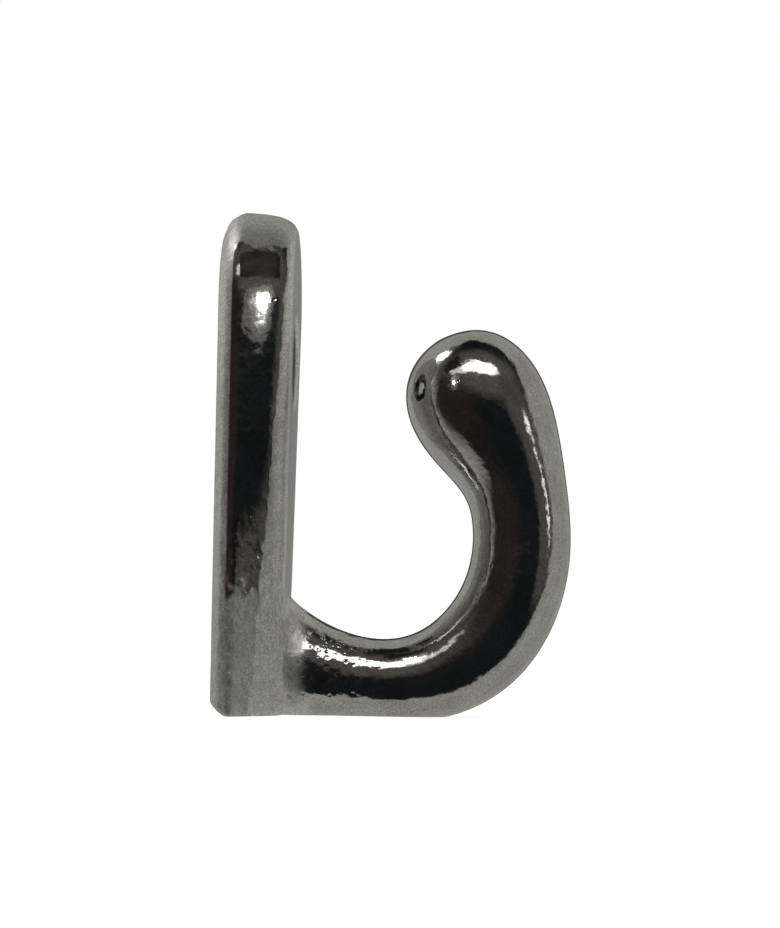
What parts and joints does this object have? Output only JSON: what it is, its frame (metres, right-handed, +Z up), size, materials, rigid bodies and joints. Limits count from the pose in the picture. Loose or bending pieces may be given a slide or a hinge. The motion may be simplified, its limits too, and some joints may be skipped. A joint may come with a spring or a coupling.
{
  "type": "awning hook",
  "caption": "Cast wall hook: round-topped plate with a countersunk screw hole and a J arm ending in a ball.",
  "frame": {"origin": "where the screw hole's axis meets the wall face of the plate", "axes": "+X out from the wall along the screw hole, +Z up the plate towards its round top, +Y across the plate"},
  "size_m": [0.0312, 0.0174, 0.0446],
  "materials": {
    "plated_metal": "polished plating over a cast surface, satin where it was ground"
  },
  "bodies": {
    "root": {"hook": "plated_metal"}
  },
  "joints": []
}
